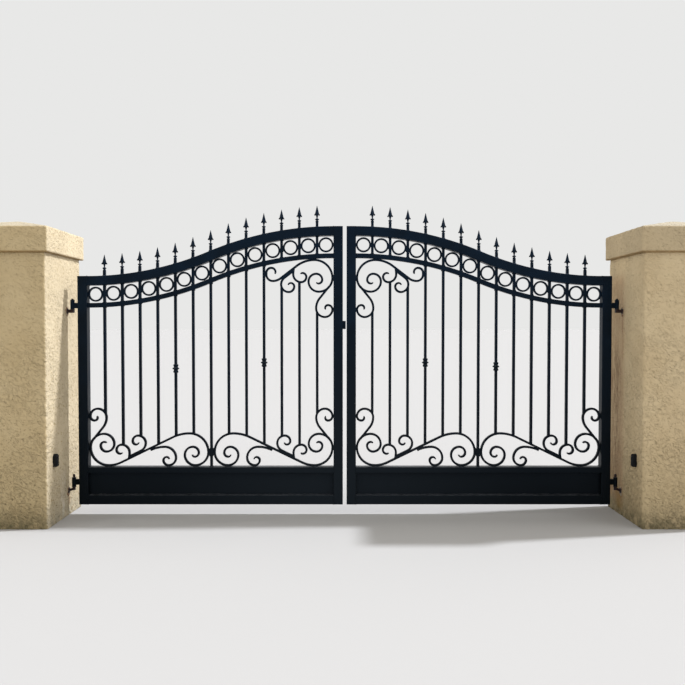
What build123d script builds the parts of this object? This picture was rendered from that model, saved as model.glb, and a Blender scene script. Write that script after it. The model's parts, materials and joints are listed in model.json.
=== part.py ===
from build123d import *
import os
from math import atan, cos, degrees, radians, sin, sqrt, tan

os.makedirs("parts", exist_ok=True)

# Sizes are in millimetres, angles in degrees.
# X runs across the driveway, Y away from the street, Z up from the paving.

# Masonry pillars
pillar_width = 600.0
pillar_height = 1783.0
pillar_corner_radius = 8.0
cap_overhang = 25.0
cap_fascia = 163.0
cap_rise = 70.0
cap_peak = 16.0
cap_corner_radius = 10.0
cap_peak_corner = 4.0
cap_eave_radius = 8.0

# Leaf layout
leaf_width = 1816.0
meeting_gap = 26.0
hinge_gap = 86.0
ground_gap = 80.0
leaf_setback = 54.0

# Leaf frame
tube = 64.0
hinge_side_height = 1571.0
meeting_side_height = 1911.0
mid_rail_top = 338.0
mid_rail_height = 41.0
ring_rail_bar = 32.0
ring_band = 120.0
panel_thickness = 3.0
tube_corner = 4.0
ring_rail_corner = 2.0

# Upright bars and rings
picket_count = 13
picket_bar = 18.0
ring_bar = 12.5
ring_depth = 12.0
weld_gap = 0.2

# Turns, and how close two places are to count as one
quarter = 90.0
half_turn = 180.0
same_place = 0.01

# Scroll bars. Each volute is a row of quarter turns, given as radii from the outside in, with a
# last part turn as a radius and an angle. The radii suit a leaf with this much clear width on
# each side of its middle, and follow the leaf's own clear width.
scroll_drawn_half = 844.0
scroll_bar = 15.0
scroll_tip = 9.0
tip_legs = 1.5
lap = 13.0
big_volute = (124.0, 94.0, 70.0, 53.0, 41.0, 26.0)
big_volute_end = (16.0, 60.0)
low_lean = 26.0
low_link_near = 200.0
low_link_far = 262.0
low_volute_first = 130.0
low_volute_rest = (72.0, 56.0, 41.0, 28.0)
low_volute_end = (17.0, 80.0)
low_branch_height = 90.0
high_lean = 37.5
high_link_near = 200.0
high_link_far = 88.0
high_curl_side = 44.0
high_curl_flat = 12.0
high_curl_rest = (34.0, 29.0)
high_curl_end = (12.0, 60.0)
high_branch_height = 112.0
tail_angle = 39.0
tail_sink = 1.5
tail_bend = 110.0
tail_curl = (60.0, 52.0, 30.0, 20.0)
tail_end = (10.0, 60.0)
branch_bend = 58.0
branch_curl = (52.0, 38.0, 24.0)
branch_end = (18.0, 75.0)
crook_bend = 205.0
crook_lean = 12.0
crook_curl = (54.0, 36.0, 27.0)
crook_end = (14.0, 60.0)
hook_bend = 225.0
hook_curl = (76.0, 52.0, 35.0, 22.0)
hook_end = (18.0, 80.0)
top_scroll_picket = 10

# Collar round the middle picket
collar_half = 14.0
collar_depth = 26.0
collar_height = 60.0
collar_chamfer = 5.0

# Picket knuckles: which pickets, counted from the hinge side, and how high on each
left_knuckle_pickets = (5, 10)
left_knuckle_heights = (1016.0, 1057.0)
right_knuckle_pickets = (6, 10)
right_knuckle_heights = (1030.0, 1057.0)
# Upper half of a knuckle's outline, as radius and height from its middle
knuckle_outline = (
    (23.0, 0.0), (23.0, 3.5), (14.5, 7.5), (14.5, 15.0), (17.5, 18.0), (17.5, 26.0), (15.0, 29.0))

# Finials, with heights above the top rail
finial_stub = 32.0
finial_turning = (
    (9.0, 31.0), (10.8, 33.0), (10.8, 40.0), (7.5, 43.0), (7.5, 46.0),
    (11.0, 48.0), (14.5, 52.0), (11.0, 56.0), (4.8, 59.0), (4.8, 70.0))
# Blade sections as height, width and thickness
blade_sections = ((66.0, 9.0, 8.0), (82.0, 20.0, 11.0), (96.0, 26.0, 12.0), (146.0, 1.6, 1.6))
wing_root = 88.0
wing_heading = 50.0
wing_turn = 140.0
wing_radius = 8.5
wing_bar = 6.5
wing_roll_radius = 4.5
wing_roll_length = 9.0

# Hinges
pin_radius = 8.0
pin_clearance = 0.05
eye_wall = 6.0
eye_height = 62.0
strap_height = 38.0
strap_thickness = 20.0
upper_arm_radius = 11.5
lower_arm_radius = 8.5
upper_arm_end = 11.0
lower_arm_end = 0.0
post_radius = 10.5
upper_post_drop = 0.0
lower_post_drop = 10.0
seat_height = 15.0
seat_radius = 15.0
seat_thickness = 4.0
eye_lift = 0.5
upper_pin_proud = 4.0
lower_pin_proud = 18.0
upper_arm_drop = 0.0
lower_arm_drop = 14.0
upper_strap_drop = 8.0
lower_strap_drop = 0.0
flange_radius = 19.0
flange_thickness = 8.0
pin_from_stile = 45.0
upper_hinge_height = 1411.0
lower_hinge_height = 184.0

# Latch block on the left leaf
latch_clearance = 6.0
latch_height = 56.0
latch_depth = 36.0
latch_middle = 1316.0

# Sensor housings on the pillars
sensor_width = 38.0
sensor_height = 84.0
sensor_reach = 28.0
sensor_bottom = 385.0
sensor_ahead = 189.0
lens_radius = 11.0
lens_recess = 3.0

# Worked-out places
gate_half = meeting_gap / 2 + leaf_width
leaf_centre = meeting_gap / 2 + leaf_width / 2
opening_half = gate_half + hinge_gap
pillar_centre = opening_half + pillar_width / 2
pin_x = gate_half + pin_from_stile
clear_half = leaf_width / 2 - tube
pitch = (2 * clear_half + picket_bar) / (picket_count + 1)
bay = pitch - picket_bar
hinge_top = ground_gap + hinge_side_height
meeting_top = ground_gap + meeting_side_height
bottom_rail_top = ground_gap + tube
mid_rail_bottom = mid_rail_top - mid_rail_height
middle_picket = (picket_count + 1) // 2
scroll_half = scroll_bar / 2
low_seat = mid_rail_top + weld_gap + scroll_half
side_seat = clear_half - weld_gap - scroll_half

# The bottom scroll's main bar: corner volute, slope and far volute
scroll_fit = clear_half / scroll_drawn_half
corner_place = side_seat - big_volute[0] * scroll_fit
low_near = low_link_near * scroll_fit
low_far = low_link_far * scroll_fit
far_first = low_volute_first * scroll_fit
low_slope = radians(low_lean)
low_across = corner_place - collar_half - weld_gap - scroll_half - far_first
low_run = (low_across - (low_near + low_far) * sin(low_slope)) / cos(low_slope)
far_second = (low_near + low_far) * (1 - cos(low_slope)) + low_run * sin(low_slope) - far_first
collar_middle = low_seat + far_second

# The top rail and the ring rail follow one curve: two equal arcs, level at both ends
rail_rise = meeting_top - hinge_top
rail_lean = 2 * degrees(atan(rail_rise / (2 * clear_half)))
rail_radius = clear_half / sin(radians(rail_lean))
top_rail_start = hinge_top - tube / 2
ring_rail_start = hinge_top - tube - ring_band - ring_rail_bar / 2


# Each leaf is drawn around its own middle, then set in its place
def left_place(shape):
    return Pos(-leaf_centre, leaf_setback, 0) * shape


def right_place(shape):
    return mirror(left_place(shape), about=Plane.YZ)


def save(name, shapes):
    solids = [solid for shape in shapes for solid in shape.solids()]
    export_step(Compound(children=solids) if len(solids) > 1 else solids[0], f"parts/{name}.step")


def save_both(name, shapes):
    save(f"left_{name}", [left_place(shape) for shape in shapes])
    save(f"right_{name}", [right_place(shape) for shape in shapes])


# A block from its low corner to its high corner
def block(low, high):
    sides = [high[i] - low[i] for i in range(3)]
    middle = [(high[i] + low[i]) / 2 for i in range(3)]
    return Pos(*middle) * Box(*sides)


# One leg of a bent bar: (radius, turn) bends it, left turns positive; (length, 0) runs straight
def step(spot, heading, leg):
    size, turn = leg
    angle = radians(heading)
    if turn == 0:
        return (spot[0] + size * cos(angle), spot[1] + size * sin(angle)), heading
    side = 1 if turn > 0 else -1
    after = radians(heading + turn)
    x = spot[0] - side * size * (sin(angle) - sin(after))
    z = spot[1] + side * size * (cos(angle) - cos(after))
    return (x, z), heading + turn


def beside(spot, heading, offset):
    angle = radians(heading)
    return spot[0] - offset * sin(angle), spot[1] + offset * cos(angle)


def walk(spot, heading, legs):
    for leg in legs:
        spot, heading = step(spot, heading, leg)
    return spot, heading


def backwards(spot, heading, legs):
    end, end_heading = walk(spot, heading, legs)
    return end, end_heading + half_turn, [(size, -turn) for size, turn in reversed(legs)]


# Outline of a bar of the given width bent along its legs; tips narrow over the last legs
def bar_outline(spot, heading, legs, width, start_tip=0, end_tip=0):
    count = len(legs)

    def half_width(place):
        taper = 1.0
        if start_tip:
            taper = min(taper, place / start_tip)
        if end_tip:
            taper = min(taper, (count - place) / end_tip)
        return (scroll_tip + (width - scroll_tip) * taper) / 2

    left = []
    right = []
    for index, leg in enumerate(legs):
        size, turn = leg
        half_leg = (size, turn / 2) if turn else (size / 2, 0)
        middle, middle_heading = step(spot, heading, half_leg)
        end, end_heading = step(spot, heading, leg)
        halfway = index + 1 / 2
        stations = [(spot, heading, index), (middle, middle_heading, halfway)]
        stations.append((end, end_heading, index + 1))
        for edges, side in ((left, 1), (right, -1)):
            points = [beside(at, along, side * half_width(place)) for at, along, place in stations]
            edges.append(ThreePointArc(*points) if turn else Line(points[0], points[2]))
        spot, heading = end, end_heading
    start_cap = Line(left[0] @ 0, right[0] @ 0)
    end_cap = Line(left[-1] @ 1, right[-1] @ 1)
    return make_face(left + right + [start_cap, end_cap])


# A flat outline drawn in X and Z, thickened evenly either side of the leaf's middle plane
def thicken(outline, thickness):
    return extrude(Plane.XZ * outline, amount=thickness / 2, both=True)


def biggest(shape):
    return max(shape.solids(), key=lambda solid: solid.volume)


# Rounds the edges that run one way, or that are of one kind
def rounded(shape, which, radius):
    return fillet(shape.edges().filter_by(which), radius)


# A solid turned about the upright axis from its outline of radius and height
def turned(profile):
    outline = Polyline((0, profile[0][1]), *profile, (0, profile[-1][1]), close=True)
    return revolve(Plane.XZ * make_face(outline), Axis.Z)


# Rails of the leaf's top curve
def curved_rail(start_height, width, overrun=0.0):
    legs = [(rail_radius, rail_lean), (rail_radius, -rail_lean)]
    if overrun:
        legs = [(overrun, 0)] + legs + [(overrun, 0)]
    return bar_outline((-clear_half - overrun, start_height), 0, legs, width)


# Height of the top curve above its start, at a place measured from the leaf's middle
def curve_height(x):
    from_end = clear_half - abs(x)
    rise = rail_radius - sqrt(rail_radius ** 2 - from_end ** 2)
    return rise if x < 0 else rail_rise - rise


# Quarter turns of a volute or a curl, fitted to the leaf; side 1 turns left and -1 turns right
def curl(radii, end, side):
    legs = [(radius * scroll_fit, side * quarter) for radius in radii]
    legs.append((end[0] * scroll_fit, side * end[1]))
    return legs


# Points on the straight slope of a scroll's main bar, which is a start and a heading
def slope_at_height(slope, z):
    (x, low), heading = slope
    return x - (z - low) / tan(radians(half_turn - heading)), z


def slope_at_place(slope, x):
    (start, low), heading = slope
    return x, low + (start - x) * tan(radians(half_turn - heading))


# Main bar: corner volute by the stile, slope and far volute
def main_bar(low_point, link, far_volute, width):
    spot, heading, inward = backwards(low_point, 0, curl(big_volute, big_volute_end, 1))
    return bar_outline(spot, heading, inward + link + far_volute, width, tip_legs, tip_legs)


# The tail leaves the corner volute and curls against the stile
def tail(low_point, width):
    first = big_volute[0] * scroll_fit
    second = big_volute[1] * scroll_fit
    off = radians(tail_angle)
    start_radius = second - tail_sink
    start_x = low_point[0] + first - second + start_radius * cos(off)
    start = (start_x, low_point[1] + first + start_radius * sin(off))
    turns = curl(tail_curl, tail_end, -1)
    side = side_seat - turns[0][0] - turns[1][0]
    bend = tail_bend * scroll_fit
    straight = (start_x - side - bend * (1 - cos(off))) / sin(off)
    legs = [(straight, 0), (bend, -tail_angle)] + turns
    return bar_outline(start, quarter + tail_angle, legs, width, 0, tip_legs)


# The crook stands on the slope and touches the corner volute
def crook_foot(low_point, slope):
    turns = curl(crook_curl, crook_end, -1)
    volute_side = low_point[0] + (big_volute[0] - big_volute[1] - big_volute[2]) * scroll_fit
    side = volute_side - scroll_bar - weld_gap - turns[0][0] - turns[1][0]
    return slope_at_place(slope, side + crook_bend * scroll_fit * (1 - cos(radians(crook_lean))))


def crook(foot, width):
    legs = [(crook_bend * scroll_fit, -crook_lean)] + curl(crook_curl, crook_end, -1)
    return bar_outline(foot, quarter + crook_lean, legs, width, 0, tip_legs)


# The branch is lapped along the slope from the crook's foot, then rises off it
def branch(slope, foot, leave_height, width):
    heading = slope[1]
    leave = beside(slope_at_height(slope, leave_height), heading, -lap)
    lap_length = (foot[0] - leave[0]) / cos(radians(half_turn - heading)) - scroll_half
    start = step(leave, heading + half_turn, (lap_length, 0))[0]
    legs = [(lap_length, 0), (branch_bend * scroll_fit, quarter - heading)]
    legs = legs + curl(branch_curl, branch_end, -1)
    return bar_outline(start, heading, legs, width, 0, tip_legs)


# The hook is lapped under the slope and rests on the rail
def hook(low_point, slope, width):
    heading = slope[1]
    fall = radians(half_turn - heading)
    turns = curl(hook_curl, hook_end, 1)
    bend = hook_bend * scroll_fit
    start_height = low_point[1] + turns[0][0] + turns[1][0] - bend * (1 - cos(fall))
    start = beside(slope_at_height(slope, start_height + lap * cos(fall)), heading, lap)
    return bar_outline(start, heading, [(bend, half_turn - heading)] + turns, width, 0, tip_legs)


# Bottom scrolls: half a group, mirrored about the middle picket
def bottom_group(width):
    low_point = (corner_place, low_seat)
    link = [(low_near, -low_lean), (low_run, 0), (low_far, low_lean)]
    far = [(far_first, quarter), (far_second, quarter)] + curl(low_volute_rest, low_volute_end, 1)
    slope = walk(low_point, half_turn, link[:1])
    foot = crook_foot(low_point, slope)
    leave_height = low_point[1] + low_branch_height * scroll_fit
    return [
        main_bar(low_point, link, far, width),
        tail(low_point, width),
        crook(foot, width),
        branch(slope, foot, leave_height, width),
        hook(low_point, slope, width),
    ]


# Top scroll: drawn upside down from its touching point under the ring rail
def top_group(width):
    low_point = (corner_place, 0.0)
    far_side = picket_x(top_scroll_picket) + picket_bar / 2 + weld_gap + scroll_half
    lean = radians(high_lean)
    near = high_link_near * scroll_fit
    end = high_link_far * scroll_fit
    side = high_curl_side * scroll_fit
    run = (corner_place - far_side - side - (near + end) * sin(lean)) / cos(lean)
    link = [(near, -high_lean), (run, 0), (end, high_lean)]
    far = [(side, quarter), (high_curl_flat * scroll_fit, 0)] + curl(high_curl_rest, high_curl_end, 1)
    slope = walk(low_point, half_turn, link[:1])
    foot = crook_foot(low_point, slope)
    return [
        main_bar(low_point, link, far, width),
        tail(low_point, width),
        crook(foot, width),
        branch(slope, foot, high_branch_height * scroll_fit, width),
    ]


# Height of the top scroll's touching point, where its link arc lies against the ring rail
def top_seat():
    rail_under = rail_radius - ring_rail_bar / 2
    rail_centre = ring_rail_start + rail_rise - rail_radius
    arc = high_link_near * scroll_fit
    reach = rail_under - arc - scroll_half - weld_gap
    return rail_centre + sqrt(reach ** 2 - (clear_half - corner_place) ** 2) + arc


def joined(outlines, thickness):
    solids = [thicken(outline, thickness) for outline in outlines]
    whole = solids[0]
    for solid in solids[1:]:
        whole = whole + solid
    return whole


def flip_to(height, shape):
    return Pos(0, 0, height) * mirror(shape, about=Plane.XY)


def picket_x(number):
    return (number - middle_picket) * pitch


bottom_right = joined(bottom_group(scroll_bar), scroll_bar)
bottom_left = mirror(bottom_right, about=Plane.YZ)
top_scroll = flip_to(top_seat(), joined(top_group(scroll_bar), scroll_bar))

# The same bars a little wider, to cope the picket ends with
cope_width = scroll_bar + 2 * weld_gap
cope_depth = 2 * picket_bar
low_cutter = joined(bottom_group(cope_width), cope_depth)
low_cutters = [low_cutter, mirror(low_cutter, about=Plane.YZ)]
high_cutter = flip_to(top_seat(), joined(top_group(cope_width), cope_depth))

# Rails and the solids that trim bars to them
top_rail = rounded(thicken(curved_rail(top_rail_start, tube), tube), GeomType.CIRCLE, tube_corner)
ring_rail = rounded(thicken(curved_rail(ring_rail_start, ring_rail_bar), ring_rail_bar), GeomType.CIRCLE,
                    ring_rail_corner)
top_trim = thicken(curved_rail(top_rail_start, tube + 2 * weld_gap, tube), 2 * tube)
ring_trim = thicken(curved_rail(ring_rail_start, ring_rail_bar + 2 * weld_gap, tube), 2 * tube)


def upright(x, low, high):
    half = picket_bar / 2
    return block((x - half, -half, low), (x + half, half, high))


# Pickets stand on the mid rail or on the scrolls, and end at the ring rail or the top scrolls
def picket(number):
    x = picket_x(number)
    bar = upright(x, mid_rail_top, ring_rail_start + curve_height(x)) - ring_trim
    if number != middle_picket:
        bar = bar - low_cutters[0] - low_cutters[1]
    if number > top_scroll_picket:
        bar = bar - high_cutter
    return biggest(bar)


# Short bars of the ring band
def ring_band_bar(number):
    x = picket_x(number)
    low = ring_rail_start + curve_height(x)
    return biggest(upright(x, low, low + ring_band + tube) - ring_trim - top_trim)


def ring(number):
    x = picket_x(number) + pitch / 2
    z = ring_rail_start + ring_rail_bar / 2 + ring_band / 2 + curve_height(x)
    outer = bay / 2 - weld_gap
    loop = Circle(outer) - Circle(outer - ring_bar)
    return thicken(Pos(x, z) * loop, ring_depth)


def blade_section(height, width, thickness):
    corners = ((width / 2, 0), (0, thickness / 2), (-width / 2, 0), (0, -thickness / 2))
    return Pos(0, 0, height) * make_face(Polyline(*corners, close=True))


# Head of a finial: turned foot, four-sided blade and two wings that curl down to a rolled end
def finial_head():
    blade = loft([blade_section(*section) for section in blade_sections], ruled=True)
    root = (0, wing_root)
    legs = [(wing_radius, -wing_turn)]
    tip = walk(root, wing_heading, legs)[0]
    wing = thicken(bar_outline(root, wing_heading, legs, wing_bar), wing_bar)
    wing = wing + Pos(tip[0], 0, tip[1]) * Rot(quarter, 0, 0) * Cylinder(wing_roll_radius, wing_roll_length)
    return turned(finial_turning) + blade + wing + mirror(wing, about=Plane.YZ)


# Each finial stands on the top rail on a square stub
def finial(number, head):
    x = picket_x(number)
    foot = top_rail_start + curve_height(x)
    rail_face = foot + tube / 2
    stub = biggest(upright(x, foot, rail_face + finial_stub) - top_trim)
    return stub + Pos(x, 0, rail_face) * head


# Collar that ties both far volutes to the middle picket
def scroll_collar():
    shell = Pos(0, 0, collar_middle) * Box(2 * collar_half, collar_depth, collar_height)
    shell = chamfer(shell.edges().filter_by(Axis.Y), collar_chamfer)
    return shell - upright(0, mid_rail_top, collar_middle + collar_height)


# Knuckle of three discs, threaded on its picket
def knuckle(number, middle):
    lower = [(radius, -height) for radius, height in reversed(knuckle_outline[1:])]
    discs = turned(lower + list(knuckle_outline))
    bore = picket_bar + 2 * weld_gap
    return Pos(picket_x(number), 0, middle) * (discs - Box(bore, bore, tube * 2))


# Frame of one leaf
hinge_stile = block((-leaf_width / 2, -tube / 2, ground_gap), (-clear_half, tube / 2, hinge_top))
hinge_stile = rounded(hinge_stile, Axis.Z, tube_corner)
meeting_stile = block((clear_half, -tube / 2, ground_gap), (leaf_width / 2, tube / 2, meeting_top))
meeting_stile = rounded(meeting_stile, Axis.Z, tube_corner)
bottom_rail = block((-clear_half, -tube / 2, ground_gap), (clear_half, tube / 2, bottom_rail_top))
bottom_rail = rounded(bottom_rail, Axis.X, tube_corner)
mid_rail = block((-clear_half, -tube / 2, mid_rail_bottom), (clear_half, tube / 2, mid_rail_top))
mid_rail = rounded(mid_rail, Axis.X, tube_corner)
kick_panel = block((-clear_half, -panel_thickness / 2, bottom_rail_top),
                   (clear_half, panel_thickness / 2, mid_rail_bottom))


# Hinge eye on the stile: a barrel round the pin and a strap to the tube
def hinge_eye(arm_height, strap_drop):
    low = arm_height + seat_height + eye_lift
    middle = low + eye_height / 2
    barrel_radius = pin_radius + pin_clearance + eye_wall
    pin_at = -leaf_width / 2 - pin_from_stile
    barrel = Pos(pin_at, 0, middle) * Cylinder(barrel_radius, eye_height)
    strap_low = middle - strap_height / 2 - strap_drop
    strap = block((pin_at, -strap_thickness / 2, strap_low),
                  (-leaf_width / 2, strap_thickness / 2, strap_low + strap_height))
    bore = Pos(pin_at, 0, middle) * Cylinder(pin_radius + pin_clearance, 2 * eye_height)
    return barrel + strap - bore


# Pintle in the pillar, drawn about the pin at the arm's height: flange, arm, post, seat and pin
def pintle(arm_radius, arm_end, arm_drop, post_drop, pin_proud):
    run = opening_half - pin_x - flange_thickness / 2
    fall = degrees(atan(arm_drop / run))
    arm_length = sqrt(run ** 2 + arm_drop ** 2) + arm_end
    flange = Pos(-run, 0, -arm_drop) * Rot(0, quarter, 0) * Cylinder(flange_radius, flange_thickness)
    arm = Pos(0, 0, arm_end - arm_length / 2) * Cylinder(arm_radius, arm_length)
    arm = Rot(0, quarter - fall, 0) * arm
    post_length = seat_height - seat_thickness / 2 + post_drop
    post = Pos(0, 0, post_length / 2 - post_drop) * Cylinder(post_radius, post_length)
    seat = Pos(0, 0, seat_height - seat_thickness / 2) * Cylinder(seat_radius, seat_thickness)
    pin_foot = seat_height / 2
    pin_length = seat_height - pin_foot + eye_lift + eye_height + pin_proud
    pin = Pos(0, 0, pin_foot + pin_length / 2) * Cylinder(pin_radius, pin_length)
    return flange + arm + post + seat + pin


# Pillars and their caps
def pillar():
    shaft = Pos(-pillar_centre, 0, pillar_height / 2) * Box(pillar_width, pillar_width, pillar_height)
    return fillet(shaft.edges().filter_by(Axis.Z), pillar_corner_radius)


# Cap with a deep fascia, a rounded eave and a low hipped top
def pillar_cap():
    side = pillar_width + 2 * cap_overhang
    eave_height = pillar_height + cap_fascia
    plan = RectangleRounded(side, side, cap_corner_radius)
    peak = RectangleRounded(cap_peak, cap_peak, cap_peak_corner)
    fascia = extrude(Pos(-pillar_centre, 0, pillar_height) * plan, amount=cap_fascia)
    eave_plan = Pos(-pillar_centre, 0, eave_height) * plan
    top = loft([eave_plan, Pos(-pillar_centre, 0, eave_height + cap_rise) * peak])
    cap = fascia + top
    eave = cap.edges().filter_by_position(Axis.Z, eave_height - same_place, eave_height + same_place)
    return fillet(eave, cap_eave_radius)


# Sensor housing with an arched top and a round lens
def sensor():
    half = sensor_width / 2
    body_height = sensor_height - half
    body = Pos(0, body_height / 2) * Rectangle(sensor_width, body_height)
    housing = extrude(Plane.YZ * (body + Pos(0, body_height) * Circle(half)), amount=sensor_reach)
    lens = Pos(sensor_reach, 0, body_height) * Rot(0, quarter, 0) * Cylinder(lens_radius, 2 * lens_recess)
    return Pos(-opening_half, -sensor_ahead, sensor_bottom) * (housing - lens)


def save_pair(name, shape):
    save(f"left_{name}", [shape])
    save(f"right_{name}", [mirror(shape, about=Plane.YZ)])


numbers = range(1, picket_count + 1)

save_pair("pillar", pillar())
save_pair("pillar_cap", pillar_cap())
upper_pintle = pintle(upper_arm_radius, upper_arm_end, upper_arm_drop, upper_post_drop, upper_pin_proud)
lower_pintle = pintle(lower_arm_radius, lower_arm_end, lower_arm_drop, lower_post_drop, lower_pin_proud)
save_pair("upper_pintle", Pos(-pin_x, leaf_setback, upper_hinge_height) * upper_pintle)
save_pair("lower_pintle", Pos(-pin_x, leaf_setback, lower_hinge_height) * lower_pintle)
save_pair("sensor", sensor())

save_both("hinge_stile", [hinge_stile])
save_both("meeting_stile", [meeting_stile])
save_both("top_rail", [top_rail])
save_both("ring_rail", [ring_rail])
save_both("mid_rail", [mid_rail])
save_both("bottom_rail", [bottom_rail])
save_both("kick_panel", [kick_panel])
save_both("pickets", [picket(number) for number in numbers])
save_both("ring_bars", [ring_band_bar(number) for number in numbers])
save_both("rings", [ring(number) for number in range(0, picket_count + 1)])
head = finial_head()
save_both("finials", [finial(number, head) for number in numbers])
save_both("bottom_scrolls", [bottom_right, bottom_left])
save_both("top_scroll", [top_scroll])
save_both("scroll_collar", [scroll_collar()])
save_both("upper_hinge_eye", [hinge_eye(upper_hinge_height, upper_strap_drop)])
save_both("lower_hinge_eye", [hinge_eye(lower_hinge_height, lower_strap_drop)])
left_knuckles = zip(left_knuckle_pickets, left_knuckle_heights)
right_knuckles = zip(right_knuckle_pickets, right_knuckle_heights)
save("left_knuckles", [left_place(knuckle(number, height)) for number, height in left_knuckles])
save("right_knuckles", [right_place(knuckle(number, height)) for number, height in right_knuckles])

latch_end = leaf_width / 2 + meeting_gap - latch_clearance
latch = block((leaf_width / 2, -latch_depth / 2, latch_middle - latch_height / 2),
              (latch_end, latch_depth / 2, latch_middle + latch_height / 2))
save("latch_block", [left_place(latch)])
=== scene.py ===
import json
import math

import bpy
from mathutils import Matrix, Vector
from mathutils.bvhtree import BVHTree


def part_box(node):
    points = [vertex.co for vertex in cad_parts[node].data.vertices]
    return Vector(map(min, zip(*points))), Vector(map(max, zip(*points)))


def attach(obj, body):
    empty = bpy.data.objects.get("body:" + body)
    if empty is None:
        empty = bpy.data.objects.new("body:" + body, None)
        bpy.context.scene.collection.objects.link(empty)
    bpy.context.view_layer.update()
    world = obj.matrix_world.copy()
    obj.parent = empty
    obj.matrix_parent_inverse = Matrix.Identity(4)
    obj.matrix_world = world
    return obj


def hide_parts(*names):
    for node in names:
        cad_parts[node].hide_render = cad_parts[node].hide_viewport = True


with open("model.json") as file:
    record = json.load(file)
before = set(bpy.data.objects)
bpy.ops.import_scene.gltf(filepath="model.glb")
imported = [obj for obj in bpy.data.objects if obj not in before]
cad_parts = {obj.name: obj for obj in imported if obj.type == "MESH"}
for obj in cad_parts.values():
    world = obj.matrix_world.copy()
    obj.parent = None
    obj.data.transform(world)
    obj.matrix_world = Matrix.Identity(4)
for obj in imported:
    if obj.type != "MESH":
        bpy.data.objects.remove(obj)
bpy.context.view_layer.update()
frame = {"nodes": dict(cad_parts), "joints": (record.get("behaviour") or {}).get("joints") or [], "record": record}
nodes = frame["nodes"]
mm = 0.001
sides = ("left", "right")


# sRGB hex to the linear colour that the shader takes
def linearColour(hexText):
    parts = [int(hexText[i:i + 2], 16) / 255 for i in (1, 3, 5)]
    return [p / 12.92 if p <= 0.04045 else ((p + 0.055) / 1.055) ** 2.4 for p in parts] + [1.0]


# Pattern scale for a feature of this many millimetres
def perSize(millimetres):
    return 1000 / millimetres


# Adds a node with its settings, and with links or values at its inputs
def addNode(tree, kind, settings=None, inputs=None):
    node = tree.nodes.new(kind)
    for name, value in (settings or {}).items():
        setattr(node, name, value)
    for name, value in (inputs or {}).items():
        if isinstance(value, bpy.types.NodeSocket):
            tree.links.new(value, node.inputs[name])
        else:
            node.inputs[name].default_value = value
    return node


def newMaterial(name):
    material = bpy.data.materials.new(name)
    material.use_nodes = True
    tree = material.node_tree
    return material, tree, tree.nodes["Principled BSDF"]


def deselectAll():
    if bpy.context.mode != "OBJECT":
        bpy.ops.object.mode_set(mode="OBJECT")
    bpy.ops.object.select_all(action="DESELECT")


def makeActive(piece):
    deselectAll()
    piece.select_set(True)
    bpy.context.view_layer.objects.active = piece


# Edit mode with the whole mesh selected
def editAll():
    bpy.ops.object.mode_set(mode="EDIT")
    bpy.ops.mesh.select_all(action="SELECT")


def leaveEdit():
    bpy.ops.object.mode_set(mode="OBJECT")


def applyModifiers(piece):
    makeActive(piece)
    for modifier in list(piece.modifiers):
        bpy.ops.object.modifier_apply(modifier=modifier.name)


def applyPlace(piece):
    makeActive(piece)
    bpy.ops.object.transform_apply(location=True, rotation=True, scale=True)


# Copy with its own mesh, put at a place with a turn and a size
def copyTo(master, place, turn, size):
    copy = master.copy()
    copy.data = master.data.copy()
    copy.location = place
    copy.rotation_euler = turn
    copy.scale = size
    bpy.context.collection.objects.link(copy)
    return copy


# Copy of a CAD solid whose loose triangles are merged into one skin, left in edit mode
def copySolid(solid, name):
    copy = bpy.data.objects.new(name, solid.data.copy())
    bpy.context.collection.objects.link(copy)
    makeActive(copy)
    editAll()
    bpy.ops.mesh.remove_doubles(threshold=0.02 * mm)
    return copy


# Waves a piece in and out by a cloud noise of this size
def addClouds(piece, name, size, strength, middle=0.5):
    texture = bpy.data.textures.new(name, "CLOUDS")
    texture.noise_scale = size
    waves = piece.modifiers.new(name, "DISPLACE")
    waves.texture = texture
    waves.texture_coords = "LOCAL"
    waves.strength = strength
    waves.mid_level = middle
    return waves


def joinAs(name, parts):
    deselectAll()
    for part in parts:
        part.select_set(True)
    bpy.context.view_layer.objects.active = parts[0]
    if len(parts) > 1:
        bpy.ops.object.join()
    whole = bpy.context.view_layer.objects.active
    whole.name = name
    whole.data.name = name
    applyPlace(whole)
    return whole


# Gives a finished piece its material and the body that it rides on
def dress(piece, material, body):
    piece.data.materials.clear()
    piece.data.materials.append(material)
    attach(piece, body)


print("frame loaded")


# The way that the trowel was drawn: down and to the right on the street side
alongTrowel = Vector((0.69, 0.46, -0.50)).to_track_quat("Z", "Y").to_euler()


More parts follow.
